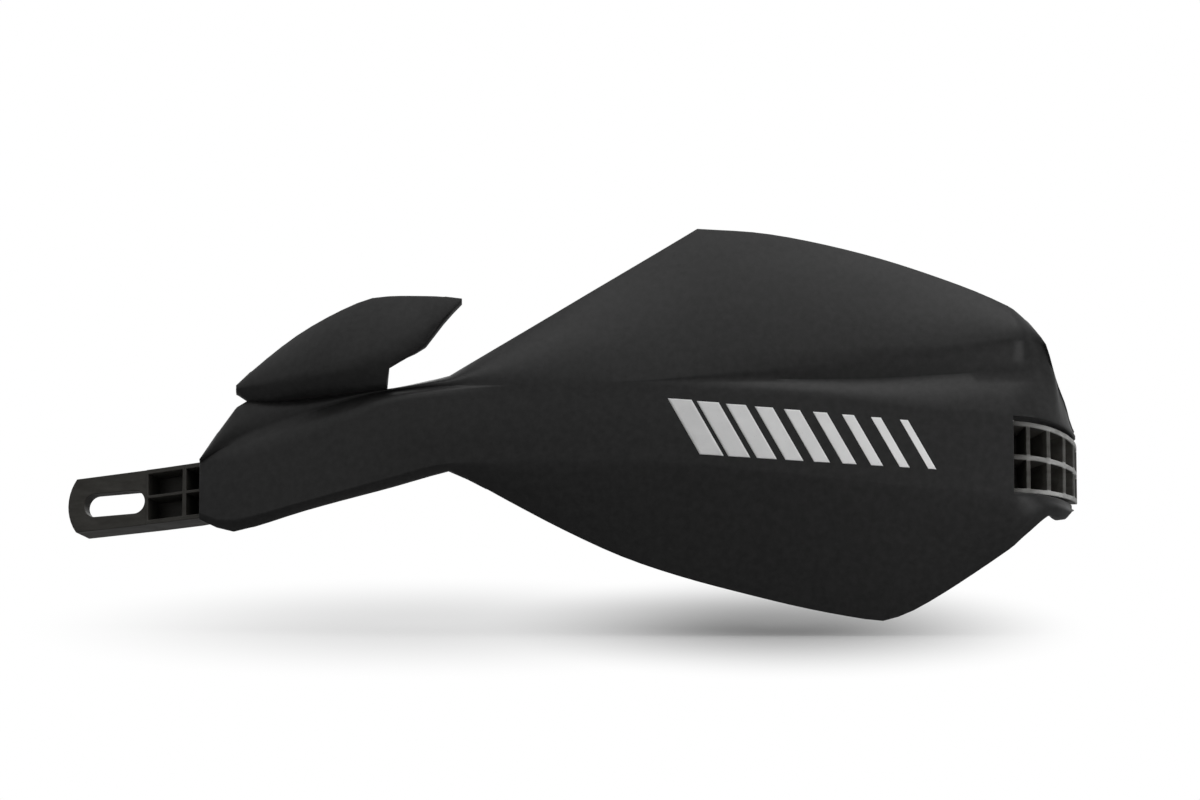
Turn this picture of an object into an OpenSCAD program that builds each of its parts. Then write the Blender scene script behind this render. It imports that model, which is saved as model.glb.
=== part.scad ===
// Motorcycle hand guard for the left end of a handlebar, closed type.
// A moulded bar runs from the bar end round the hand to a slotted tongue,
// and a moulded cover with a small wing is screwed to the front of it.
// +X points outboard along the handlebar, -Y points forward, +Z points up.
// The origin is the centre of the hole for the bar-end bolt.
// Both mouldings are drawn upright and then lean back about the X axis.

/* [Placing] */
// Angle by which the guard leans back from upright
lean = 16; // [8:1:22]

/* [Bar] */
// Depth of the bar from its front to its back
bar_depth = 12; // [11:0.5:14]
// Height of the bar at its outer bend
bar_height = 25.5; // [24:0.5:28]
// Height of the bar at its slotted tongue
tongue_height = 19; // [18:0.5:21]
// Distance from the bar-end hole forward to the front of the bar
reach = 80; // [74:1:90]
// Radius of the outer bend, measured on its outside
bend_r = 26; // [24:1:30]
// Outer face of the bar along X, measured from the bar-end hole
arm_half = 6; // [5:0.5:7]
// Where the inner bend starts along X
kink_x = -203; // [-208:1:-198]
// Radius of the inner bend, measured on its front
kink_r = 140; // [120:5:160]
// Angle by which the inner end turns back
kink_angle = 21; // [18:1:23]
// Where the tongue ends along X
tongue_end_x = -346; // [-350:1:-342]
// Thickness of the ribs and rails between the pockets
rib = 1.6; // [1.4:0.1:2.2]
// Thickness of the closed wall behind the pockets
web = 2; // [1.6:0.1:3]
// Distance from rib to rib on the straight runs
rib_pitch = 14; // [12:0.5:18]
// Angle from rib to rib round the outer bend
bend_pitch = 17.2; // [15:0.2:20]

/* [Mounts] */
// Diameter of the hole for the bar-end bolt
end_bore = 8.5; // [8:0.1:9]
// Diameter of the boss round the bar-end hole
end_boss = 25; // [22:0.5:28]
// Width of the slot in the tongue
slot_w = 8.2; // [6.5:0.1:8.6]
// Length of the slot in the tongue, end to end
slot_length = 23; // [18:0.5:26]
// Thickness of the tongue round its slot
tongue_t = 5; // [4:0.5:6]
// How far the tongue's face lies behind the front of the bar
tongue_drop = 0.4; // [0.3:0.1:0.8]

/* [Cover] */
// Wall thickness of the cover
wall = 2.8; // [2.2:0.1:3.4]
// Gap between the bar and the back of the cover
cover_gap = 1; // [0.6:0.1:1.6]
// How far the cover bows out from the bar in the middle
bow = 4; // [2:0.5:6]
// Depth of the valley above the central band
valley = 5; // [3:0.5:6]
// Gap between the window's edges and the bar
window_gap = 0.8; // [0.6:0.1:1.4]
// How far the wing stands forward of the stem
wing_step = 8; // [6:0.5:9]
// Wall thickness of the wing
wing_wall = 3; // [2.4:0.1:3.6]

/* [Fasteners] */
// Diameter of the cover screws
screw_d = 5; // [4:0.5:5.5]
// Length of a cover screw below its head
screw_length = 12; // [9:0.5:12]
// Diameter of a screw head
head_d = 9.5; // [8.5:0.5:11]
// Height of a screw head
head_h = 3; // [2.4:0.2:3.6]
// Diameter of a washer
washer_d = 12; // [11:0.5:13]
// Thickness of a washer
washer_t = 1; // [0.8:0.1:1.6]
// Diameter of a screw post on the back of the cover
post_d = 10; // [9:0.5:11]
// Depth to which a post sits in the bar
post_seat = 7; // [5:0.5:8]

/* [Hidden] */

// Smoothness of round exact forms
$fn = 64;
// Clearance round a post and round a screw
post_clear = 0.3;
screw_clear = 0.4;
thread_clear = 0.1;

// Plan of the bar, seen from above: the outer bend, the front run and the inner bend
bend_x = arm_half - bend_r;
bend_y = bend_r - reach;
kink_y = kink_r - reach;
kink_end_x = kink_x - kink_r * sin(kink_angle);
kink_end_y = kink_y - kink_r * cos(kink_angle);
tongue_run = (kink_end_x - tongue_end_x) / cos(kink_angle);
front_run = bend_x - kink_x;
kink_run = kink_r * PI * kink_angle / 180;
bend_run = bend_r * PI / 2;
arm_run = -bend_y;

// Distance along the front face of the bar, from the bar-end hole inwards
front_start = arm_run + bend_run;
kink_start = front_start + front_run;
tongue_start = kink_start + kink_run;
bar_run = tongue_start + tongue_run;

// Angle that the bar has turned after a distance s
function turned(s) =
  s < arm_run ? 0
  : s < front_start ? (s - arm_run) / bend_r * 180 / PI
  : s < kink_start ? 90
  : s < tongue_start ? 90 + (s - kink_start) / kink_r * 180 / PI
  : 90 + kink_angle;

// Point of the bar's plan after a distance s, at a depth d behind its outer face
function on_bar(s, d) =
  let (a = turned(s))
  s < arm_run ? [arm_half - d, -s]
  : s < front_start ? [bend_x + (bend_r - d) * cos(a), bend_y - (bend_r - d) * sin(a)]
  : s < kink_start ? [bend_x - (s - front_start), d - reach]
  : s < tongue_start ? [kink_x + (kink_r - d) * cos(a), kink_y - (kink_r - d) * sin(a)]
  : [
      kink_end_x - (s - tongue_start) * cos(kink_angle) + d * sin(kink_angle),
      kink_end_y + (s - tongue_start) * sin(kink_angle) + d * cos(kink_angle)
    ];

// Distances at which the plan of a stretch of the bar needs a point
bend_step = 5;
function stretch(s0, s1) = concat(
  [s0],
  [for (a = [0:bend_step:90]) let (s = arm_run + bend_r * PI * a / 180) if (s > s0 && s < s1) s],
  [for (a = [0:3:kink_angle]) let (s = kink_start + kink_r * PI * a / 180) if (s > s0 && s < s1) s],
  [s1]
);
// Plan of the bar from s0 to s1, between the depths d0 and d1
module bar_plan(s0, s1, d0, d1) {
  run = stretch(s0, s1);
  back = [for (i = [len(run) - 1:-1:0]) on_bar(run[i], d1)];
  polygon(concat([for (s = run) on_bar(s, d0)], back));
}

// Smooth curve through knots [x, value], each knot's slope taken from its neighbours
function knot_before(x, k, i = 0) =
  (i >= len(k) - 2 || x < k[i + 1][0]) ? i : knot_before(x, k, i + 1);
function knot_slope(k, i) =
  let (a = max(i - 1, 0), b = min(i + 1, len(k) - 1))
  (k[b][1] - k[a][1]) / (k[b][0] - k[a][0]);
function curve(x, k) =
  let (
    i = knot_before(x, k),
    h = k[i + 1][0] - k[i][0],
    t = (x - k[i][0]) / h,
    m0 = knot_slope(k, i) * h,
    m1 = knot_slope(k, i + 1) * h
  )
  (2 * t ^ 3 - 3 * t ^ 2 + 1) * k[i][1] + (t ^ 3 - 2 * t ^ 2 + t) * m0
  + (3 * t ^ 2 - 2 * t ^ 3) * k[i + 1][1] + (t ^ 3 - t ^ 2) * m1;
// Smooth step from 0 to 1, and straight blend from a to b
function ease(t) = let (c = min(max(t, 0), 1)) c * c * (3 - 2 * c);
function blend(a, b, t) = a + (b - a) * t;

// Middle line of the bar, seen from the front: it climbs along the stem and then falls to the bend
mid_outer = -13;
bar_line = [
  [-354, -20.8], [-318, -19.6], [-296, -18.5], [-270, -15], [-240, -7.4], [-212, -3.6],
  [-185, -3.2], [-150, -4.8], [-100, -8], [bend_x, mid_outer]
];
// Share of the way along X from the outer bend to the tongue
function share(x) = (bend_x - x) / (bend_x - tongue_end_x);
function bar_mid(x) = curve(x, bar_line);
function bar_half(x) = (bar_height + (tongue_height - bar_height) * share(x)) / 2;

// Front outline of the bar from the bend to the tongue, shrunk by g all round
front_steps = 24;
front_reach = 8;
module front_outline(g = 0, top = 1, bottom = -1) {
  x0 = tongue_end_x - front_reach;
  xs = [for (i = [0:front_steps]) x0 + (bend_x - x0) * i / front_steps];
  upper = [for (x = xs) [x, bar_mid(x) + top * (bar_half(x) - g)]];
  lower = [for (i = [front_steps:-1:0]) let (x = xs[i]) [x, bar_mid(x) + bottom * (bar_half(x) - g)]];
  polygon(concat(upper, lower));
}

// Side outline of the bend and the arm: the arm runs nearly level once the guard leans back
arm_height = 20;
arm_tilt = 14.6;
function arm_mid(y) = y * tan(arm_tilt);
bend_end_mid = arm_mid(bend_y);
function side_mid(y) =
  y > bend_y ? arm_mid(y)
  : let (t = (y - bend_y) / (-reach - bend_y)) bend_end_mid + (mid_outer - bend_end_mid) * t * t;
function side_half(y) =
  y > bend_y ? arm_height / 2
  : let (t = (y - bend_y) / (-reach - bend_y)) (arm_height + (bar_height - arm_height) * t) / 2;
side_steps = 8;
module side_outline(g = 0, top = 1, bottom = -1) {
  ys = concat(
    [for (i = [0:side_steps]) -reach - 1 + (reach + 1 + bend_y) * i / side_steps],
    [0]
  );
  upper = [for (y = ys) [y, side_mid(y) + top * (side_half(y) - g)]];
  n = len(ys) - 1;
  lower = [for (i = [n:-1:0]) [ys[i], side_mid(ys[i]) + bottom * (side_half(ys[i]) - g)]];
  polygon(concat(upper, lower));
}

// Stands a front outline up and gives it depth
module as_front() {
  rotate([90, 0, 0]) translate([0, 0, -5]) linear_extrude(reach + 10) children();
}
// Stands a side outline up and gives it width
module as_side() {
  translate([bend_x, 0, 0])
    rotate([90, 0, 90]) linear_extrude(bend_r + 2) children();
}
// Gives a plan its height
plan_low = -45;
plan_height = 65;
module as_plan() {
  translate([0, 0, plan_low]) linear_extrude(plan_height) children();
}

// Places its children on the front face of the bar, with +Z going into the bar
module at_bar(s, z) {
  p = on_bar(s, 0);
  translate([p[0], p[1], z]) rotate([-90, 0, 90 - turned(s)]) children();
}

// Ribs: where each pocket starts and ends along the bar
pad_d = 16;
step_x = -318;
slot_x = -329.5;
slot_drop = 0.8;
tongue_step_s = tongue_start + (kink_end_x - step_x) / cos(kink_angle);
slot_s = tongue_start + (kink_end_x - slot_x) / cos(kink_angle);
screw_x = [-52, -118, -184];
stem_screw_x = -280;
stem_screw_s = tongue_start + (kink_end_x - stem_screw_x) / cos(kink_angle);
screw_s = concat([for (x = screw_x) front_start + bend_x - x], [stem_screw_s]);
function screw_z(s) = bar_mid(on_bar(s, 0)[0]);
function near_screw(s0, s1) =
  len([for (s = screw_s) if (s > s0 - pad_d / 2 && s < s1 + pad_d / 2) s]) > 0;

front_cells = floor((tongue_step_s - front_start) / rib_pitch);
front_pitch = (tongue_step_s - front_start) / front_cells;
bend_cells = floor(90 / bend_pitch);
bend_cell = bend_run / bend_cells;
arm_cells = 3;
arm_pocket_start = end_boss / 2 + 1;
arm_pitch = (arm_run - arm_pocket_start) / arm_cells;

// Plans of the pockets on the front run and tongue, and on the bend and arm
module front_pockets() {
  for (i = [0:front_cells - 1]) {
    s0 = front_start + i * front_pitch + rib / 2;
    s1 = s0 + front_pitch - rib;
    if (!near_screw(s0, s1)) bar_plan(s0, s1, -1, bar_depth - web);
  }
}
module bend_pockets() {
  for (i = [0:bend_cells - 1]) {
    s0 = arm_run + i * bend_cell + rib / 2;
    bar_plan(s0, s0 + bend_cell - rib, -1, bar_depth - web);
  }
  for (i = [0:arm_cells - 1]) {
    s0 = arm_pocket_start + i * arm_pitch + rib / 2;
    bar_plan(s0, s0 + arm_pitch - rib, -1, bar_depth - web);
  }
}

// Rounded end of the tongue, seen from the front
tongue_end_r = 16;
tongue_end_z = bar_mid(tongue_end_x);
keep_length = 400;
keep_depth = 80;
module tongue_rounding() {
  at_bar(bar_run - tongue_end_r, tongue_end_z) {
    translate([0, 0, -1]) cylinder(h = bar_depth + 2, r = tongue_end_r);
    translate([0, -keep_depth / 2, -keep_length / 2]) cube([keep_length, keep_depth, keep_length]);
  }
}

// Slot through the tongue
module slot() {
  z = bar_mid(slot_x) - slot_drop;
  half = (slot_length - slot_w) / 2;
  at_bar(slot_s, z) translate([0, 0, -1]) {
    for (side = [-1, 1]) translate([side * half, 0, 0]) cylinder(h = bar_depth + 2, d = slot_w);
    translate([-half, -slot_w / 2, 0]) cube([2 * half, slot_w, bar_depth + 2]);
  }
}

// The tongue's flat face
module tongue_face() {
  as_plan() bar_plan(tongue_step_s, bar_run + 1, -1, tongue_drop);
}

// Outline of the tongue seen square to it, shrunk by g all round
hollow_steps = 6;
module tongue_outline(g) {
  s0 = tongue_step_s + g;
  s1 = bar_run - g;
  run = [for (i = [0:hollow_steps]) s0 + (s1 - s0) * i / hollow_steps];
  edge = function (s, side)
    let (x = on_bar(s, 0)[0]) [slot_s - s, side * (bar_half(x) - g) - bar_mid(x)];
  lower = [for (i = [hollow_steps:-1:0]) edge(run[i], 1)];
  intersection() {
    polygon(concat([for (s = run) edge(s, -1)], lower));
    translate([slot_s - bar_run + tongue_end_r, -tongue_end_z]) {
      circle(r = tongue_end_r - g);
      translate([0, -keep_depth / 2]) square([keep_length, keep_depth]);
    }
  }
}

// Hollow behind the tongue, with a rim left all round and a raised seat round the slot
seat_rise = 0.6;
seat_gap = 1;
module tongue_hollow() {
  at_bar(slot_s, 0) translate([0, 0, tongue_drop + tongue_t - seat_rise]) difference() {
    linear_extrude(bar_depth) tongue_outline(rib);
    translate([0, 0, -1]) linear_extrude(seat_rise + 1) tongue_outline(rib + seat_gap);
  }
}

module bar_solid() {
  intersection() {
    as_plan() bar_plan(front_start - 0.01, bar_run, 0, bar_depth);
    as_front() front_outline();
    tongue_rounding();
  }
  intersection() {
    as_plan() bar_plan(0, front_start, 0, bar_depth);
    as_side() side_outline();
  }
  rotate([0, 90, 0]) translate([0, 0, arm_half - bar_depth]) cylinder(h = bar_depth, d = end_boss);
}

module bar() {
  color("#2b2926")
  rotate([-lean, 0, 0])
  difference() {
    bar_solid();
    intersection() {
      as_plan() front_pockets();
      as_front() {
        front_outline(rib, 1, rib / bar_height);
        front_outline(rib, -rib / bar_height, -1);
      }
    }
    intersection() {
      as_plan() bend_pockets();
      as_side() {
        side_outline(rib, 1, rib / arm_height);
        side_outline(rib, -rib / arm_height, -1);
      }
    }
    tongue_face();
    tongue_hollow();
    slot();
    for (s = screw_s) at_bar(s, screw_z(s)) {
      translate([0, 0, -1]) cylinder(h = post_seat + 1, d = post_d + 2 * post_clear);
      cylinder(h = bar_depth + 1, d = screw_d + screw_clear);
    }
    rotate([0, 90, 0]) translate([0, 0, -20]) cylinder(h = 40, d = end_bore);
  }
}

// Plan of the cover's central band: it follows the bar, bows out and wraps round the bend.
// u runs along X up to the wrap and along the arc after it.
cover_off = cover_gap + wall;
cover_r = bend_r + cover_off;
wrap_start_a = 8;
wrap_start = bend_x + cover_r * sin(wrap_start_a);
wrap_end_a = 78;
wrap_end = wrap_start + cover_r * (wrap_end_a - wrap_start_a) * PI / 180;
function wrap_a(u) = wrap_start_a + (u - wrap_start) / cover_r * 180 / PI;
function bar_front(x) =
  x > kink_x ? -reach
  : x > kink_end_x ? kink_y - sqrt(kink_r ^ 2 - (x - kink_x) ^ 2)
  : kink_end_y + (kink_end_x - x) * tan(kink_angle);
bow_mid = (kink_x + wrap_start) / 2;
bow_end = 10;
bow_half = (wrap_start - kink_x) / 2 + bow_end;
wrap_tuck = cover_r * (1 - cos(wrap_start_a));
function bow_at(x) =
  let (t = min(abs(x - bow_mid) / bow_half, 1)) bow * (1 - t * t) ^ 2
  - wrap_tuck * ease((x - bow_mid) / (wrap_start - bow_mid)) ^ 3;
function band_y(x) = bar_front(x) - cover_off - bow_at(x);
// Point of the band's plan at u, moved out by n
facing_run = 50;
function facing(u) =
  u > wrap_start ? wrap_a(u) : wrap_start_a * ease((u - wrap_start + facing_run) / facing_run);
function on_band(u, n) =
  let (a = facing(u))
  u > wrap_start
    ? [bend_x + (cover_r + n) * sin(a), bend_y - (cover_r + n) * cos(a)]
    : [u + n * sin(a), band_y(u) - n * cos(a)];

// Lines along the cover, as heights over u: the stem, then the leaf, then the wrap
throat = -212;
crown = -126;
chin = -62;
top_stem = [
  [-300, -9.8], [-286, 10.4], [-283.5, 13.2], [-279, 13], [-269, 12.4], [-248, 12.3],
  [-232, 12.5], [-214, 15.4], [throat, 16]
];
top_rise = [[throat, 16], [crown, 70]];
top_fall = [
  [crown, 70], [-103, 68.5], [-79, 64], [-55, 57.5], [-34, 50], [-20, 43.5], [-12, 38.4],
  [-4, 31.2], [-0.6, 25.4], [2.7, 18.6], [6.5, 12.7], [10.4, 7.9], [13, 4], [17.7, 1], [22, 0]
];
bottom_stem = [
  [-300, -29.5], [-297, -30.5], [-293, -32.8], [-287.5, -34.8], [-262, -29.2],
  [-234, -23.6], [throat, -18]
];
bottom_fall = [
  [throat, -18], [-203, -22], [-193, -27.4], [-172, -38.3], [-152, -47.3],
  [-131, -54.2], [-110, -59.5], [-89, -64.1], [-69, -67.4], [chin, -68]
];
bottom_rise = [
  [chin, -68], [-53, -65.3], [-38, -57.6], [-20, -46.5], [-10, -39.3],
  [-5, -35.2], [-1.5, -33], [5, -32.6], [9.6, -32.4], [13, -31.6], [16.4, -29.6], [22, -27]
];
lip_knots = [
  [-300, -10], [-282, -1], [-250, 8], [-232, 11], [-180, 11.8], [-145, 12.4], [-124, 14.4],
  [-96, 17.2], [-69, 19.9], [-34, 23.8], [-20, 26.6], [-7, 27.6], [22, 28]
];
valley_knots = [
  [-300, -11.2], [-281, -7.2], [-269, -3.6], [-247, 2.8], [-234, 7.3], [throat, 9.5], [-180, 10.8],
  [-145, 11.8], [-124, 12.5], [-69, 14.1], [-34, 16.6], [-20, 17.5], [-5, 18.9], [22, 19]
];
shoulder_knots = [
  [-300, -13.5], [-281, -10], [-269, -7], [-247, 0], [-234, 5], [throat, 7.5], [-180, 9],
  [-145, 9.4], [-124, 7.3], [-89, 6], [-69, 4.4], [-41, 1.1]
];
crease_knots = [
  [-300, -25.5], [-290, -29.2], [-262, -25], [-234, -19.2], [throat, -14.5], [-172, -15.1],
  [-138, -15.9], [-110, -18.4], [-89, -20.7], [-55, -24]
];
function top_line(u) =
  u < throat ? curve(u, top_stem) : u < crown ? curve(u, top_rise) : curve(u, top_fall);
function bottom_line(u) =
  u < throat ? curve(u, bottom_stem) : u < chin ? curve(u, bottom_fall) : curve(u, bottom_rise);

// The window at the outer end follows the bar's rails with a gap; the shoulder and the
// crease run into its upper and its lower edge
window_x = bend_x + 2.8;
function rail_y(u) = u > wrap_start ? bend_y - bend_r * cos(wrap_a(u)) : -reach;
function rail_mid(u) = u > bend_x ? side_mid(rail_y(u)) : bar_mid(u);
function rail_half(u) = u > bend_x ? side_half(rail_y(u)) : bar_half(u);
blend_run = 38;
blend_end = window_x - 5;
function to_window(u) = ease((u - blend_end + blend_run) / blend_run);
function tuck(u) = -cover_off * ease((u - window_x) / (wrap_end - window_x));
low_tuck = 1.4;
function shoulder_line(u) =
  blend(curve(min(u, -41), shoulder_knots), rail_mid(u) + rail_half(u) + window_gap, to_window(u));
function crease_line(u) =
  blend(curve(min(u, -55), crease_knots), rail_mid(u) - rail_half(u) - window_gap, to_window(u));

// How far each line lies out from the band; the valley opens towards the outer end
// and closes again at the tip of the wrap
line_gap = 0.5;
function closing(u) = ease((u + 4) / 10);
function lip_closing(u) = ease((u + 14) / 12);
top_out = [
  [-300, -0.4], [-292, -1.6], [-282, -5.5], [-240, -7], [throat, -5], [-172, -9], [crown, -14],
  [-55, -14], [-20, -9], [-7, -6], [0, -5], [10, -4.3], [22, -4.4]
];
bottom_out = [
  [-300, -0.4], [-287, -4], [-234, -5], [throat, -5], [-172, -10], [-131, -15],
  [chin, -21], [-38, -17], [-20, -11], [-5, -4], [10, -5.6], [22, -6.4]
];
function valley_open(u) = ease((u + 150) / 110) * (1 - closing(u));
stem_fade = 45;
function stem_share(u) = 1 - ease((u - throat + stem_fade / 2) / stem_fade);
function valley_out(u) = blend(-valley * valley_open(u), curve(u, top_out), closing(u));
function lip_out(u) =
  blend(-0.3 * valley * valley_open(u), curve(u, top_out), max(lip_closing(u), 0.6 * stem_share(u)));

// One upright section of the cover at u: points [n, z] of its outer face, from the top down
cover_start = -299;
start_run = 12;
function from_start(u) = ease((u - cover_start) / start_run);
function panel(a, b, bulge, t) =
  [blend(a[0], b[0], t) + bulge * 4 * t * (1 - t), blend(a[1], b[1], t)];
flange_t = 1.6;
function section_lines(u) =
  let (
    zt = top_line(u),
    zs = shoulder_line(u),
    zc = crease_line(u),
    zl = min(curve(u, lip_knots), zt - line_gap),
    zv = min(curve(u, valley_knots), zl - line_gap)
  )
  [
    [curve(u, top_out), max(zt, zs + flange_t + 4 * line_gap)],
    [lip_out(u), max(zl, zs + flange_t + 2 * line_gap)],
    [valley_out(u), max(zv, zs + flange_t + line_gap)],
    [tuck(u), zs + flange_t],
    [tuck(u), zs],
    [low_tuck * tuck(u), zc],
    [low_tuck * tuck(u), zc - flange_t],
    [curve(u, bottom_out), min(bottom_line(u), zc - flange_t - 2 * line_gap)]
  ];
// Steps between one line and the next, and the rows of the window's edges
line_steps = [8, 2, 3, 1, 5, 1, 7];
sill_row = 14;
ledge_row = 19;
function section_front(u) =
  let (
    k = section_lines(u),
    bulge = [1.6 - 1.4 * closing(u), 0, 0.6 * valley_open(u), 0, 0.5, 0, 1.2 * from_start(u)]
  )
  concat(
    [for (i = [0:6]) for (j = [0:line_steps[i] - 1])
      panel(k[i], k[i + 1], bulge[i], j / line_steps[i])],
    [k[7]]
  );
// The same section moved in by a depth for each row. It moves along its own normal where
// the section is upright, and by no more than a given slope where the section lies flat.
// Each moved point stays below the one before it, so that the section can't fold over.
inner_slope = 0.6;
row_step = 0.06;
function moved_in(f, g, most) = [
  for (i = [0:len(f) - 1])
    let (
      a = f[max(i - 1, 0)],
      b = f[min(i + 1, len(f) - 1)],
      slope = (a[0] - b[0]) / max(a[1] - b[1], 0.01),
      d = [-1, min(max(slope, -most), most)]
    )
    f[i] + g[i] * d / norm(d)
];
function settled(f, i, z) =
  i == len(f) ? []
  : let (low = min(f[i][1], z - row_step)) concat([[f[i][0], low]], settled(f, i + 1, low));
function section_inner(f, g, most) =
  let (b = moved_in(f, g, most)) settled(b, 0, b[0][1] + row_step);
// Depth of the wall at each row: flanges turn in over the bar along the window
flange_depth = 10;
flange_run = 3;
function flange(u) = ease((u - window_x) / flange_run);
function wall_depth(u, row) =
  (row == sill_row - 1 || row == sill_row || row == ledge_row || row == ledge_row + 1)
    ? blend(wall, flange_depth, flange(u)) : wall;
function in_place(u, p) = let (q = on_band(u, p[0])) [q[0], q[1], p[1]];
function ring(u) =
  let (
    f = section_front(u),
    n = len(f) - 1,
    most = inner_slope * (1 - closing(u)) * from_start(u),
    b = section_inner(f, [for (row = [0:n]) wall_depth(u, row)], most)
  )
  concat([for (p = f) in_place(u, p)], [for (i = [n:-1:0]) in_place(u, b[i])]);

// Closed shell through a list of rings, each ring half front and half back. From ring w on,
// the rows from g0 to g1 are left open, which makes a fork.
module loft(rings, w, g0, g1) {
  n = len(rings[0]);
  m = len(rings);
  h = n / 2;
  at = function (i, j) i * n + (j + n) % n;
  open = function (i, j)
    i >= w && ((j >= g0 && j < g1) || (j >= n - 1 - g1 && j < n - 1 - g0));
  quad = function (q) [[q[0], q[1], q[2]], [q[0], q[2], q[3]]];
  sides = [for (i = [0:m - 2]) for (j = [0:n - 1]) if (!open(i, j))
    each quad([at(i, j), at(i + 1, j), at(i + 1, j + 1), at(i, j + 1)])];
  start = [for (j = [0:h - 2])
    each quad([at(0, j), at(0, j + 1), at(0, n - 2 - j), at(0, n - 1 - j)])];
  end = [for (j = [0:h - 2]) if (j < g0 || j >= g1)
    each quad([at(m - 1, j + 1), at(m - 1, j), at(m - 1, n - 1 - j), at(m - 1, n - 2 - j)])];
  inner = w >= m - 1 ? [] : concat(
    [for (j = [g0:g1 - 1])
      each quad([at(w, j + 1), at(w, j), at(w, n - 1 - j), at(w, n - 2 - j)])],
    [for (i = [w:m - 2])
      each quad([at(i, g0), at(i + 1, g0), at(i + 1, n - 1 - g0), at(i, n - 1 - g0)])],
    [for (i = [w:m - 2])
      each quad([at(i + 1, g1), at(i, g1), at(i, n - 1 - g1), at(i + 1, n - 1 - g1)])]
  );
  polyhedron([for (r = rings) each r], concat(sides, start, end, inner), convexity = 6);
}

function spaced(a, b, n) = [for (i = [0:n - 1]) a + (b - a) * i / n];
leaf_stations = concat(
  spaced(cover_start, throat, 14), spaced(throat, crown, 13), spaced(crown, chin, 10),
  spaced(chin, window_x, 8)
);
cover_stations = concat(leaf_stations, spaced(window_x, wrap_end, 20), [wrap_end]);
module cover_shell() {
  loft([for (u = cover_stations) ring(u)], len(leaf_stations), sill_row, ledge_row);
}

// Wing: a plate that stands forward of the stem, with a slanting flank down to it
wing_start = -286.5;
wing_free = -233.5;
wing_end = -207.5;
wing_top = [
  [-287, 16.8], [-284.5, 19.4], [-276, 26.2], [-265, 33.6], [-250, 41], [-240, 44.6],
  [-234, 45], [-224, 44.2], [-215, 42.8], [-207.5, 41]
];
wing_face = [
  [-287, 16], [-282, 16], [-269, 15.4], [-255, 15.8], [-241, 18.2], [-234, 20],
  [-229, 22.2], [-222, 25.8], [-217, 31], [-207.5, 40.5]
];
wing_root = [[-287, 15.4], [-284.5, 12.6], [-281, 10.8], [-269, 10.4], [-248, 10.4], [-233.5, 10.8]];
wing_edge = [[-232.5, 17.4], [-230, 18.8], [-220, 24.8], [-216.5, 29.4], [-212.5, 34.6], [-207.5, 40]];
wing_flank = 2.2;
wing_rest = 3;
wing_lead = 6;
wing_run = 40;
wing_lean = 0.35;
wing_face_steps = 6;
wing_min = 0.5;
root_drop = 0.3;
// The point between the face and the root that rounds the flank
flank_out = 0.35;
flank_down = 0.75;
tip_run = 14;
function wing_out(x) = wing_step * ease((x - wing_start + wing_lead) / wing_run) - wing_rest;
function wing_front(x) =
  let (
    n0 = wing_out(x),
    zf = curve(x, wing_face),
    zt = max(curve(x, wing_top), zf + wing_min),
    h = zt - zf,
    free = x > wing_free,
    zr = free ? curve(x, wing_edge) : curve(x, wing_root),
    nr = free ? n0 - wing_flank : 2 - wing_step
  )
  concat(
    [for (i = [0:wing_face_steps])
      let (t = 1 - i / wing_face_steps) [n0 - wing_lean * h * t * t, zf + h * t]],
    [[blend(n0, nr, flank_out), blend(zf, zr, flank_down)], [nr, min(zr, zf - root_drop)]]
  );
function wing_ring(x) =
  let (
    f = wing_front(x),
    n = len(f) - 1,
    most = inner_slope * (1 - ease((x - wing_free) / tip_run)),
    b = section_inner(f, [for (p = f) wing_wall], most)
  )
  concat([for (p = f) in_place(x, p)], [for (i = [n:-1:0]) in_place(x, b[i])]);
wing_notch = 1;
wing_stations = concat(
  spaced(wing_start, wing_free, 10), [wing_free],
  spaced(wing_free + wing_notch, wing_end, 8), [wing_end]
);
module wing() {
  loft([for (x = wing_stations) wing_ring(x)], len(wing_stations), 0, 0);
}

// Posts on the back of the cover, each standing in its seat in the bar
module post(s) {
  x = on_bar(s, 0)[0];
  out = (bar_front(x) - band_y(x)) * cos(turned(s) - 90);
  at_bar(s, screw_z(s)) translate([0, 0, -out + 1]) cylinder(h = out - 1 + post_seat, d = post_d);
}

// Front end of the hole in a post, a little past the tip of its screw
pilot_end = bar_depth + washer_t - screw_length - 1;
module cover() {
  color("#1d1d1e")
  rotate([-lean, 0, 0])
  difference() {
    union() {
      cover_shell();
      wing();
      for (s = screw_s) post(s);
    }
    for (s = screw_s) at_bar(s, screw_z(s))
      translate([0, 0, pilot_end]) cylinder(h = bar_depth, d = screw_d + 2 * thread_clear);
  }
}

// Screws and washers, put in from the back of the bar
module cover_screw() {
  translate([0, 0, washer_t]) {
    cylinder(h = head_h, d = head_d);
    translate([0, 0, -screw_length]) cylinder(h = screw_length, d = screw_d);
  }
}
module on_bar_back(s) {
  at_bar(s, screw_z(s)) translate([0, 0, bar_depth]) children();
}
module cover_screws() {
  color("#6f7276")
  rotate([-lean, 0, 0]) for (s = screw_s) on_bar_back(s) cover_screw();
}
module cover_washers() {
  color("#8b8e92")
  rotate([-lean, 0, 0]) for (s = screw_s) on_bar_back(s) difference() {
    cylinder(h = washer_t, d = washer_d);
    translate([0, 0, -1]) cylinder(h = washer_t + 2, d = screw_d + screw_clear);
  }
}

bar();
cover();
cover_screws();
cover_washers();
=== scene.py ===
# Looks of a motorcycle hand guard: a ribbed moulded bar with a satin black cover in front of it.
# Lengths are in metres. +X points outboard, -Y points forward, +Z points up.
import math

import bmesh
import bpy
from mathutils import Matrix, Vector
from mathutils.bvhtree import BVHTree


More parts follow.
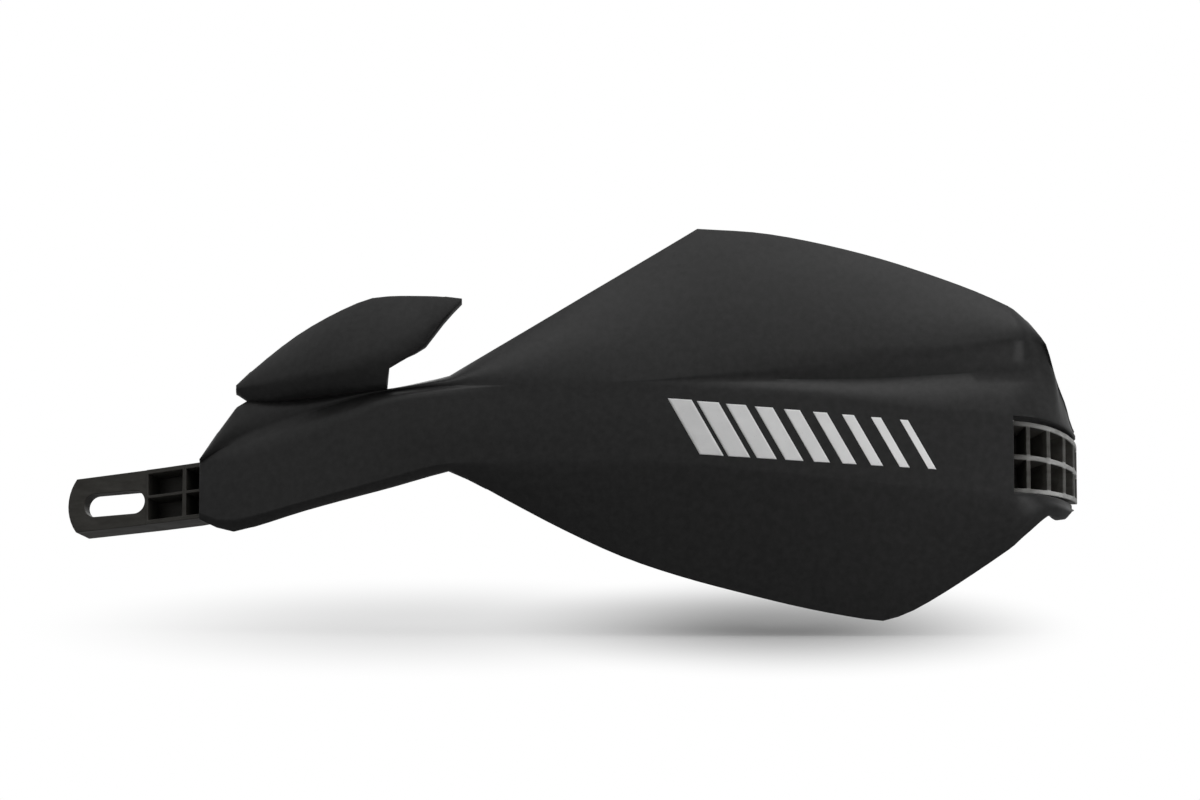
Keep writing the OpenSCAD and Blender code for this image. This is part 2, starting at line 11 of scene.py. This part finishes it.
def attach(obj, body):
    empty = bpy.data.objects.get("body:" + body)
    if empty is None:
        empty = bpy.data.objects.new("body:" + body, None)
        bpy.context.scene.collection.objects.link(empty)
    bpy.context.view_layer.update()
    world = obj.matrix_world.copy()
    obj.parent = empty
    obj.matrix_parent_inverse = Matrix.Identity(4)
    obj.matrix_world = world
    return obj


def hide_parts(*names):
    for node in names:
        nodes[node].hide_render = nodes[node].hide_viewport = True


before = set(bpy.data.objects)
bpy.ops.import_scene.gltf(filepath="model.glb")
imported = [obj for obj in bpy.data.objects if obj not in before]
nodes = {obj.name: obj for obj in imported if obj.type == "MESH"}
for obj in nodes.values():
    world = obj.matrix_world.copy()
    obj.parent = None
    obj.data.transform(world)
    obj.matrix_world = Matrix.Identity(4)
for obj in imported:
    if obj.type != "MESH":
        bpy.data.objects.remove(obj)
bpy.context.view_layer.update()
scene = bpy.context.scene
scene.view_settings.view_transform = "Standard"

MM = 0.001


# Camera: far in front of the guard, a little above it, as in the photograph
camera_rise = math.radians(2.5)
camera_distance = 3.0
camera_sensor = 36.0
far_clip = 20.0
photo_width = 1200
photo_scale = 0.345 * MM
view_centre = Vector((-0.1598, -0.0787, 0.02896))


def add_camera():
    away = Vector((0, -math.cos(camera_rise), math.sin(camera_rise)))
    data = bpy.data.cameras.new("photo_camera")
    data.sensor_width = camera_sensor
    data.lens = camera_distance / (photo_width * photo_scale) * camera_sensor
    data.clip_end = far_clip
    camera = bpy.data.objects.new("photo_camera", data)
    camera.location = view_centre + camera_distance * away
    camera.rotation_euler = away.to_track_quat("Z", "Y").to_euler()
    scene.collection.objects.link(camera)
    scene.camera = camera


# Materials
edge_layer = "rounded_edge"


class Nodes:
    """Adds nodes to one node tree, and links them."""

    def __init__(self, tree):
        self.tree = tree

    def add(self, kind):
        return self.tree.nodes.new(kind)

    def link(self, source, target):
        self.tree.links.new(source, target)

    def ramp(self, value, before, after, smooth=False):
        """Takes the range before to the range after, and stops at its ends."""
        node = self.add("ShaderNodeMapRange")
        if smooth:
            node.interpolation_type = "SMOOTHSTEP"
        node.inputs["From Min"].default_value, node.inputs["From Max"].default_value = before
        node.inputs["To Min"].default_value, node.inputs["To Max"].default_value = after
        self.link(value, node.inputs["Value"])
        return node.outputs["Result"]

    def math(self, operation, *values):
        node = self.add("ShaderNodeMath")
        node.operation = operation
        for socket, value in zip(node.inputs, values):
            if isinstance(value, (int, float)):
                socket.default_value = value
            else:
                self.link(value, socket)
        return node.outputs[0]

    def split(self, vector):
        node = self.add("ShaderNodeSeparateXYZ")
        self.link(vector, node.inputs[0])
        return node.outputs

    def seen(self, reflected_share):
        """1 for what the camera sees, also through glass, and a share for what is reflected."""
        rays = self.add("ShaderNodeLightPath").outputs
        reflected = self.math("MULTIPLY", rays["Is Glossy Ray"], reflected_share)
        straight = self.math("MAXIMUM", rays["Is Camera Ray"], reflected)
        return self.math("MAXIMUM", straight, rays["Is Transmission Ray"])

    def mix_shaders(self, share, lit, plain, output):
        node = self.add("ShaderNodeMixShader")
        for socket, source in zip(node.inputs, (share, lit.outputs[0], plain.outputs[0])):
            self.link(source, socket)
        self.link(node.outputs[0], self.tree.nodes[output].inputs["Surface"])


class Finish(Nodes):
    """The nodes of one new material."""

    def __init__(self, name):
        self.material = bpy.data.materials.new(name)
        self.material.use_nodes = True
        super().__init__(self.material.node_tree)
        self.shader = self.tree.nodes["Principled BSDF"]
        self.place = self.add("ShaderNodeTexCoord").outputs["Object"]

    def set(self, socket, value):
        self.shader.inputs[socket].default_value = value

    def drive(self, socket, source):
        self.link(source, self.shader.inputs[socket])

    def noise(self, scale, detail, roughness, stretch=None):
        node = self.add("ShaderNodeTexNoise")
        node.inputs["Scale"].default_value = scale
        node.inputs["Detail"].default_value = detail
        node.inputs["Roughness"].default_value = roughness
        source = self.place
        if stretch:
            mapping = self.add("ShaderNodeMapping")
            mapping.inputs["Scale"].default_value = stretch
            self.link(source, mapping.inputs["Vector"])
            source = mapping.outputs["Vector"]
        self.link(source, node.inputs["Vector"])
        return node.outputs["Fac"]

    def mix_colour(self, share, low, high):
        """Mixes two colours. A and B of a colour mix are inputs 6 and 7, and its result is output 2."""
        node = self.add("ShaderNodeMix")
        node.data_type = "RGBA"
        self.link(share, node.inputs["Factor"])
        for socket, value in ((node.inputs[6], low), (node.inputs[7], high)):
            if isinstance(value, tuple):
                socket.default_value = (*value, 1)
            else:
                self.link(value, socket)
        return node.outputs[2]

    def bump(self, height, strength, distance, below=None):
        node = self.add("ShaderNodeBump")
        node.inputs["Strength"].default_value = strength
        node.inputs["Distance"].default_value = distance
        self.link(height, node.inputs["Height"])
        if below is not None:
            self.link(below, node.inputs["Normal"])
        return node.outputs["Normal"]

    def edges(self):
        """1 on the rounded edges of the mouldings, where the finish is rubbed."""
        node = self.add("ShaderNodeAttribute")
        node.attribute_name = edge_layer
        return node.outputs["Fac"]


plastic_specular = 0.15
cover_black = (0.0100, 0.0100, 0.0103)
cover_black_paler = (0.0118, 0.0117, 0.0116)
cover_worn = (0.026, 0.026, 0.026)


def cover_plastic():
    m = Finish("satin_black_plastic")
    grain = m.noise(scale=2600, detail=2, roughness=0.6)
    skin = m.noise(scale=420, detail=3, roughness=0.55)
    cloud = m.noise(scale=18, detail=3, roughness=0.5)
    flow = m.noise(scale=60, detail=4, roughness=0.6, stretch=(0.25, 1, 1.6))
    scuff = m.noise(scale=900, detail=2, roughness=0.6, stretch=(0.15, 1, 1))
    tone = m.mix_colour(m.ramp(cloud, (0.35, 0.65), (0, 1)), cover_black, cover_black_paler)
    scuffed_places = m.ramp(cloud, (0.45, 0.6), (0, 0.4))
    scuffed = m.math("MULTIPLY", m.ramp(scuff, (0.62, 0.74), (0, 1)), scuffed_places)
    rubbed_edges = m.math("MULTIPLY", m.edges(), m.ramp(skin, (0.3, 0.7), (0.35, 0.8)))
    worn = m.math("MAXIMUM", scuffed, rubbed_edges)
    m.drive("Base Color", m.mix_colour(worn, tone, cover_worn))
    streaks = m.ramp(flow, (0.3, 0.7), (0.37, 0.44))
    m.drive("Roughness", m.math("ADD", streaks, m.ramp(grain, (0.3, 0.7), (-0.03, 0.03))))
    m.set("Specular IOR Level", plastic_specular)
    fine = m.bump(grain, strength=0.12, distance=0.12 * MM)
    m.drive("Normal", m.bump(skin, strength=0.05, distance=0.3 * MM, below=fine))
    return m.material


# The bar's outer bend: its axis and radius seen from above, and the lean of the guard round X
bend_axis = (-20 * MM, -54 * MM)
bend_radius = 26 * MM
guard_lean = math.radians(16)
rail_half = 0.9 * MM
# Middle and half height of the bar where the arm meets the bend, and at the front
arm_end = (-14.07 * MM, 10.0 * MM)
bend_front = (-13.0 * MM, 12.75 * MM)
# The painted highlight lies on the outer face, grows outboard along the bend towards the light from the
# right, and is slight on the ribs
highlight_depth = (0.7 * MM, 0.4 * MM)
highlight_reach = (3 * MM, 18 * MM)
highlight_least = 0.1
highlight_fade = (-0.5 * MM, 0)
highlight_on_ribs = 0.12
# Distances from the bar's outer edge, and from its middle, over which the painted highlight on a rail
# fades
outer_rail_fade = (2.2 * rail_half, 1.7 * rail_half)
middle_rail_fade = (1.4 * rail_half, rail_half)


def bend_painted_highlight(m):
    """Where the rails on the outside of the bend get a painted highlight of the light from the right: 1
    there, 0 elsewhere.
    """
    turned = m.add("ShaderNodeMapping")
    turned.inputs["Rotation"].default_value = (guard_lean, 0, 0)
    m.link(m.place, turned.inputs["Vector"])
    along, back, up = m.split(turned.outputs["Vector"])
    x = m.math("SUBTRACT", along, bend_axis[0])
    y = m.math("SUBTRACT", back, bend_axis[1])
    radius = m.math("SQRT", m.math("ADD", m.math("MULTIPLY", x, x), m.math("MULTIPLY", y, y)))
    outer_face = (bend_radius - highlight_depth[0], bend_radius - highlight_depth[1])
    outside = m.ramp(radius, outer_face, (0, 1))
    outboard = m.ramp(x, highlight_reach, (highlight_least, 1))
    round_bend = m.math("MULTIPLY", outboard, m.ramp(y, highlight_fade, (1, 0)))
    ahead = m.math("MULTIPLY", y, -1 / bend_radius)
    middle = m.ramp(m.math("MULTIPLY", ahead, ahead), (0, 1), (arm_end[0], bend_front[0]))
    half = m.ramp(ahead, (0, 1), (arm_end[1], bend_front[1]))
    off = m.math("ABSOLUTE", m.math("SUBTRACT", up, middle))
    outer_rail = m.ramp(m.math("SUBTRACT", half, off), outer_rail_fade, (0, 1))
    middle_rail = m.ramp(off, middle_rail_fade, (0, 1))
    rails = m.ramp(m.math("MAXIMUM", outer_rail, middle_rail), (0, 1), (highlight_on_ribs, 1))
    return m.math("MULTIPLY", rails, m.math("MULTIPLY", outside, round_bend))


nylon_grey = (0.0150, 0.0135, 0.0108)
nylon_grey_paler = (0.0205, 0.0187, 0.0152)
nylon_edge = (0.060, 0.058, 0.053)
# A pale colour for the rails on the outer bend: a painted highlight of the light from the right
nylon_painted_highlight = (0.44, 0.44, 0.43)


def bar_plastic():
    m = Finish("warm_grey_nylon")
    grain = m.noise(scale=1900, detail=3, roughness=0.6)
    cloud = m.noise(scale=45, detail=4, roughness=0.6)
    drag = m.noise(scale=300, detail=3, roughness=0.6, stretch=(0.3, 1, 1.4))
    tone = m.mix_colour(m.ramp(cloud, (0.35, 0.65), (0, 1)), nylon_grey, nylon_grey_paler)
    edge_wear = m.math("MULTIPLY", m.edges(), m.ramp(drag, (0.3, 0.7), (0.3, 0.8)))
    edged = m.mix_colour(edge_wear, tone, nylon_edge)
    # The rails on the outer bend are painted pale here: a painted highlight, not a colour of the nylon
    painted_highlight = m.math("MULTIPLY", bend_painted_highlight(m), m.ramp(drag, (0.25, 0.6), (0.45, 1)))
    m.drive("Base Color", m.mix_colour(painted_highlight, edged, nylon_painted_highlight))
    m.drive("Roughness", m.ramp(drag, (0.3, 0.7), (0.40, 0.54)))
    m.set("Specular IOR Level", plastic_specular)
    m.drive("Normal", m.bump(grain, strength=0.2, distance=0.2 * MM))
    return m.material


zinc_dark = (0.42, 0.43, 0.45)
zinc_bright = (0.56, 0.57, 0.58)


def zinc_steel():
    m = Finish("zinc_plated_steel")
    cloud = m.noise(scale=500, detail=3, roughness=0.6)
    turned = m.noise(scale=2500, detail=2, roughness=0.5, stretch=(1, 0.1, 1))
    tone = m.mix_colour(m.ramp(cloud, (0.35, 0.65), (0, 1)), zinc_dark, zinc_bright)
    m.drive("Base Color", tone)
    m.set("Metallic", 1)
    m.drive("Roughness", m.ramp(turned, (0.3, 0.7), (0.24, 0.4)))
    m.drive("Normal", m.bump(turned, strength=0.1, distance=0.1 * MM))
    return m.material


# Mouldings: copies of the CAD meshes with their sharp outer edges rounded
merge_distance = 0.002 * MM
shortest_edge = 0.04 * MM
flat_angle = math.radians(0.6)
smooth_limit = math.radians(50)
cover_sharp = math.radians(55)
cover_least_face = 1.1 * MM
cover_round = 0.45 * MM
bar_sharp = math.radians(35)
bar_least_face = 0.5 * MM
bar_round = 0.25 * MM
flat_face_weight = 90


def add_piece(name, mesh, material):
    piece = bpy.data.objects.new(name, mesh)
    scene.collection.objects.link(piece)
    mesh.materials.clear()
    mesh.materials.append(material)
    return piece


def merged_copy(node):
    """The node's mesh as one connected surface."""
    mesh = nodes[node].data.copy()
    bm = bmesh.new()
    bm.from_mesh(mesh)
    bmesh.ops.remove_doubles(bm, verts=bm.verts, dist=merge_distance)
    bmesh.ops.dissolve_degenerate(bm, edges=bm.edges, dist=merge_distance)
    return mesh, bm


def shade_smooth(bm, angle):
    for face in bm.faces:
        face.smooth = True
    for edge in bm.edges:
        edge.smooth = len(edge.link_faces) == 2 and edge.calc_face_angle(0) < angle


def round_edges(bm, angle, least_width, width):
    """Rounds the sharp outer edges whose faces are wide enough, and marks the rounding."""
    def narrow(face, edge):
        return 2 * face.calc_area() < least_width * edge.calc_length()

    sharp = [
        edge for edge in bm.edges
        if len(edge.link_faces) == 2 and edge.calc_face_angle(0) > angle and edge.is_convex
        and not any(narrow(face, edge) for face in edge.link_faces)
    ]
    found = bmesh.ops.bevel(
        bm, geom=sharp, offset=width, offset_type="OFFSET", segments=2, profile=0.5,
        affect="EDGES", clamp_overlap=False, material=-1,
    )
    layer = bm.loops.layers.float_color.new(edge_layer)
    for face in found["faces"]:
        for loop in face.loops:
            loop[layer] = (1, 1, 1, 1)
    bmesh.ops.dissolve_degenerate(bm, edges=bm.edges, dist=shortest_edge)


def finish_moulding(name, mesh, bm, material):
    """Shades a moulding, and keeps its flat faces flat beside their rounded edges."""
    shade_smooth(bm, smooth_limit)
    bm.to_mesh(mesh)
    bm.free()
    piece = add_piece(name, mesh, material)
    shading = piece.modifiers.new("even_shading", "WEIGHTED_NORMAL")
    shading.keep_sharp = True
    shading.weight = flat_face_weight
    return piece


def cover_moulding(material):
    mesh, bm = merged_copy("cover")
    round_edges(bm, cover_sharp, cover_least_face, cover_round)
    piece = finish_moulding("cover_moulding", mesh, bm, material)
    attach(piece, "root")
    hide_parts("cover")
    return piece


def bar_moulding(material):
    mesh, bm = merged_copy("bar")
    bmesh.ops.dissolve_limit(
        bm, angle_limit=flat_angle, use_dissolve_boundaries=False,
        verts=bm.verts, edges=bm.edges, delimit=set(),
    )
    round_edges(bm, bar_sharp, bar_least_face, bar_round)
    piece = finish_moulding("bar_moulding", mesh, bm, material)
    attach(piece, "root")
    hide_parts("bar")


# Screws and washers: each stands where its CAD solid does. Their own sizes are in millimetres
turn_steps = 48
seam_merge = 0.001 * MM
turned_smooth = math.radians(40)


def solids(node):
    """Centre, axis and highest point along the axis of each separate solid of a node."""
    mesh, bm = merged_copy(node)
    left = set(bm.verts)
    found = []
    while left:
        verts = [left.pop()]
        for reached in verts:
            for edge in reached.link_edges:
                other = edge.other_vert(reached)
                if other in left:
                    left.remove(other)
                    verts.append(other)
        # Sorted by place, so that the centre comes out alike in each run
        verts.sort(key=lambda vert: tuple(vert.co))
        # The axis is the direction that the largest flat area faces
        flat = {}
        for face in {face for vert in verts for face in vert.link_faces}:
            key = tuple(round(c, 3) for c in face.normal)
            flat[key] = flat.get(key, 0) + face.calc_area()
        axis = Vector(max(flat, key=flat.get)).normalized()
        if axis.y < 0:
            axis = -axis
        centre = sum((vert.co for vert in verts), Vector()) / len(verts)
        top = max((vert.co - centre).dot(axis) for vert in verts)
        found.append((centre, axis, top))
    bm.free()
    bpy.data.meshes.remove(mesh)
    return sorted(found, key=lambda solid: solid[0].x)


def lathe(bm, profile, closed):
    """Turns a profile of (radius, height) round Z."""
    verts = [bm.verts.new((radius * MM, 0, height * MM)) for radius, height in profile]
    ends = verts[1:] + verts[:1] if closed else verts[1:]
    edges = [bm.edges.new(pair) for pair in zip(verts, ends)]
    bmesh.ops.spin(
        bm, geom=verts + edges, cent=(0, 0, 0), axis=(0, 0, 1), dvec=(0, 0, 0),
        angle=math.tau, steps=turn_steps, use_merge=True, use_duplicate=False,
    )
    bmesh.ops.remove_doubles(bm, verts=bm.verts, dist=seam_merge)
    bmesh.ops.recalc_face_normals(bm, faces=bm.faces)


def stand_copies(name, bm, height, node, material):
    """Stands a copy of a turned shape at each solid of the node, top at top, as one piece."""
    one = bpy.data.meshes.new("one_" + name)
    bm.to_mesh(one)
    bm.clear()
    for centre, axis, top in solids(node):
        turned = axis.to_track_quat("Z", "Y").to_matrix().to_4x4()
        spot = Matrix.Translation(centre + axis * (top - height * MM)) @ turned
        start = len(bm.verts)
        bm.from_mesh(one)
        bm.verts.ensure_lookup_table()
        bmesh.ops.transform(bm, matrix=spot, verts=bm.verts[start:])
    shade_smooth(bm, turned_smooth)
    mesh = bpy.data.meshes.new(name)
    bm.to_mesh(mesh)
    bm.free()
    bpy.data.meshes.remove(one)
    piece = add_piece(name, mesh, material)
    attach(piece, "root")
    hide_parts(node)


head_radius = 4.75
head_height = 3.0
shaft_radius = 2.5
shaft_length = 12.0
root_radius = 2.0
thread_start = -1.2
thread_pitch = 1.6
thread_count = 6
socket_half = 2.0
socket_depth = 1.9
socket_edge = 0.2


def screw_profile():
    """Half the section of a screw: socket, rounded head, shaft, threads and point."""
    top = head_height
    socket_floor = top - socket_depth
    points = [
        (0, socket_floor - 0.25), (socket_half * 0.8, socket_floor), (socket_half, socket_floor + 0.1),
        (socket_half, top - socket_edge), (socket_half + socket_edge, top),
        (head_radius - 1.5, top), (head_radius - 0.8, top - 0.12), (head_radius - 0.3, top - 0.45),
        (head_radius - 0.05, top - 1.0), (head_radius, top - 1.5), (head_radius, 0.3),
        (head_radius - 0.1, 0.08), (head_radius - 0.3, 0), (shaft_radius, 0), (shaft_radius, -1),
    ]
    for i in range(thread_count):
        z = thread_start - i * thread_pitch
        points += [
            (root_radius, z), (root_radius, z - 0.5 * thread_pitch),
            (shaft_radius, z - 0.7 * thread_pitch), (shaft_radius, z - 0.8 * thread_pitch),
        ]
    points += [(root_radius, 0.7 - shaft_length), (root_radius - 0.6, -shaft_length), (0, -shaft_length)]
    return points


def add_screws(material):
    """Pan-head screws with a hexagon socket, in place of the CAD screws."""
    bm = bmesh.new()
    lathe(bm, screw_profile(), closed=False)
    below_socket = (head_height - socket_depth - 0.3) * MM
    round_socket = (socket_half + 0.3) * MM
    for vert in bm.verts:
        radius = math.hypot(vert.co.x, vert.co.y)
        if vert.co.z > below_socket and 0.1 * MM < radius < round_socket:
            turn = math.atan2(vert.co.y, vert.co.x) % (math.pi / 3) - math.pi / 6
            vert.co.xy *= 1 / math.cos(turn)
    stand_copies("socket_screws", bm, head_height, "cover_screws", material)


washer_inner = 2.7
washer_outer = 6.0
washer_thick = 1.0
washer_inner_round = 0.1
washer_outer_round = 0.2


def add_washers(material):
    """Washers with rounded rims, in place of the CAD washers."""
    top = washer_thick
    hole = washer_inner + washer_inner_round
    rim = washer_outer - washer_outer_round
    profile = [
        (washer_inner, washer_inner_round), (hole, 0), (rim, 0), (washer_outer, washer_outer_round),
        (washer_outer, top - washer_outer_round), (rim, top), (hole, top),
        (washer_inner, top - washer_inner_round),
    ]
    bm = bmesh.new()
    lathe(bm, profile, closed=True)
    stand_copies("rimmed_washers", bm, washer_thick, "cover_washers", material)


# Stripes printed on the band, narrower and shorter towards the outboard end
stripe_left = -0.1255
stripe_right = -0.0370
stripe_count = 9
stripe_lean = 0.60
stripe_bottom = 0.0107
stripe_height = 0.0183
stripe_slope = -0.064
stripe_lift = 0.05 * MM
stripe_thickness = 0.05 * MM
stripe_grid = (9, 45)
first_width = 0.84
width_loss = 0.56
height_loss = 0.12
ray_start = -0.3

print_grey = (0.66, 0.66, 0.66)
print_pale = (0.86, 0.86, 0.86)
print_worn = (0.3, 0.3, 0.3)
print_specular = 0.3


def stripe_print():
    m = Finish("pale_grey_print")
    cloud = m.noise(scale=120, detail=3, roughness=0.6)
    speck = m.noise(scale=2200, detail=2, roughness=0.7)
    outboard = m.ramp(m.split(m.place)[0], (stripe_left, stripe_right), (0, 0.8))
    along = m.math("ADD", outboard, m.ramp(cloud, (0.35, 0.65), (0, 0.2)))
    tone = m.mix_colour(along, print_grey, print_pale)
    m.drive("Base Color", m.mix_colour(m.ramp(speck, (0.68, 0.76), (0, 0.55)), tone, print_worn))
    m.drive("Roughness", m.ramp(cloud, (0.3, 0.7), (0.42, 0.55)))
    m.set("Specular IOR Level", print_specular)
    m.drive("Normal", m.bump(speck, strength=0.05, distance=0.1 * MM))
    return m.material


def band_stripes(material, cover):
    """Slanted stripes, laid on the cover where rays from in front of it meet it."""
    surface = BVHTree.FromObject(cover, bpy.context.evaluated_depsgraph_get())
    bm = bmesh.new()
    pitch = (stripe_right - stripe_left) / stripe_count
    columns, rows = stripe_grid
    for i in range(stripe_count):
        share = i / (stripe_count - 1)
        width = pitch * (first_width - width_loss * share)
        grid = bmesh.ops.create_grid(bm, x_segments=columns, y_segments=rows, size=0.5)["verts"]
        height = stripe_height * (1 - height_loss * share)
        for vert in grid:
            x = stripe_left + i * pitch + (vert.co.x + 0.5) * width
            z = stripe_bottom + (vert.co.y + 0.5) * height
            x -= stripe_lean * (vert.co.y + 0.5) * height
            z += stripe_slope * (x - stripe_left)
            hit, normal, _, _ = surface.ray_cast(Vector((x, ray_start, z)), Vector((0, 1, 0)))
            vert.co = hit + normal * stripe_lift
    bmesh.ops.recalc_face_normals(bm, faces=bm.faces)
    for face in bm.faces:
        face.smooth = True
    if sum(face.normal.y for face in bm.faces) > 0:
        bmesh.ops.reverse_faces(bm, faces=bm.faces)
    mesh = bpy.data.meshes.new("band_stripes")
    bm.to_mesh(mesh)
    bm.free()
    piece = add_piece("band_stripes", mesh, material)
    skin = piece.modifiers.new("print_thickness", "SOLIDIFY")
    skin.thickness = stripe_thickness
    skin.offset = -1
    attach(piece, "root")


# Stage and light
white = (1, 1, 1, 1)
floor_level = -0.0525
floor_size = 6.0
floor_grey = (0.4, 0.4, 0.4, 1)
floor_roughness = 0.9
floor_reflected = 0.1
# Ovals of painted shadow, where the grey floor shows along with the object's real shadow: middle, half
# size and the least share of plain white
painted_shadow_ovals = (
    ((-0.096, -0.02), (0.110, 0.27), 0.14),
    ((-0.222, -0.02), (0.145, 0.27), 0.66),
)
oval_core = 0.1


def oval_share(m, middle, half, least):
    """The share of plain white: least in the middle of an oval, 1 outside it."""
    oval = m.add("ShaderNodeMapping")
    oval.vector_type = "TEXTURE"
    oval.inputs["Location"].default_value = (*middle, floor_level)
    oval.inputs["Scale"].default_value = (*half, 1)
    m.link(m.place, oval.inputs["Vector"])
    away = m.add("ShaderNodeVectorMath")
    away.operation = "LENGTH"
    m.link(oval.outputs["Vector"], away.inputs[0])
    return m.ramp(away.outputs["Value"], (oval_core, 1), (least, 1), smooth=True)


def white_floor():
    """Plain white to the camera, apart from the ovals, where the grey floor shows as a painted shadow
    together with the object's real shadow.
    """
    m = Finish("white_floor")
    m.set("Base Color", floor_grey)
    m.set("Roughness", floor_roughness)
    m.set("Specular IOR Level", 0)
    plain = m.add("ShaderNodeEmission")
    plain.inputs["Color"].default_value = white
    # Inside the ovals the floor is grey also where no shadow falls: a painted shadow
    ovals = m.math("MULTIPLY", *(oval_share(m, *oval) for oval in painted_shadow_ovals))
    share = m.math("MULTIPLY", m.seen(floor_reflected), ovals)
    m.mix_shaders(share, m.shader, plain, "Material Output")
    return m.material


def add_floor():
    bm = bmesh.new()
    bmesh.ops.create_grid(bm, x_segments=1, y_segments=1, size=floor_size)
    bmesh.ops.translate(bm, verts=bm.verts, vec=(0, 0, floor_level))
    mesh = bpy.data.meshes.new("floor")
    bm.to_mesh(mesh)
    bm.free()
    floor = add_piece("floor", mesh, white_floor())


world_light = 0.1
# Reflections see the studio dimmer in front of the guard than behind it
room_depth = (-0.6, 0.2)
room_light = (0.3, 1)


def add_world():
    world = bpy.data.worlds.new("studio")
    scene.world = world
    world.use_nodes = True
    room = Nodes(world.node_tree)
    light = room.tree.nodes["Background"]
    light.inputs["Color"].default_value = white
    light.inputs["Strength"].default_value = world_light
    plain = room.add("ShaderNodeBackground")
    plain.inputs["Color"].default_value = white
    direction = room.split(room.add("ShaderNodeTexCoord").outputs["Generated"])
    reflected = room.ramp(direction[1], room_depth, room_light, smooth=True)
    room.mix_shaders(room.seen(reflected), light, plain, "World Output")


def add_lamp(name, place, target, size, watts):
    data = bpy.data.lights.new(name, "AREA")
    data.shape = "RECTANGLE"
    data.size, data.size_y = size
    data.energy = watts
    lamp = bpy.data.objects.new(name, data)
    lamp.location = place
    lamp.rotation_euler = (Vector(place) - Vector(target)).to_track_quat("Z", "Y").to_euler()
    scene.collection.objects.link(lamp)


guard_middle = (-0.15, -0.06, 0.01)
bend_middle = (0, -0.06, 0)


def add_lamps():
    add_lamp("top_softbox", (-0.05, -0.25, 1.15), guard_middle, size=(1.2, 0.7), watts=8)
    add_lamp("front_softbox", (-0.15, -0.98, 0.78), guard_middle, size=(0.8, 0.5), watts=0.6)
    add_lamp("left_softbox", (-0.80, -0.60, 0.86), guard_middle, size=(0.6, 0.6), watts=1)
    add_lamp("low_left_softbox", (-0.99, -0.90, 0.22), guard_middle, size=(0.5, 0.5), watts=0.8)
    add_lamp("right_softbox", (0.69, -0.90, 0.22), guard_middle, size=(0.5, 0.5), watts=0.4)
    add_lamp("bend_lamp", (0.12, -0.28, 0), bend_middle, size=(0.12, 0.12), watts=0.25)
    add_lamp("back_softbox", (-0.30, 1.00, 0.35), guard_middle, size=(0.8, 0.6), watts=2)


add_camera()
add_world()
add_floor()
add_lamps()

black = cover_plastic()
nylon = bar_plastic()
steel = zinc_steel()
cover = cover_moulding(black)
bar_moulding(nylon)
band_stripes(stripe_print(), cover)
add_screws(steel)
add_washers(steel)
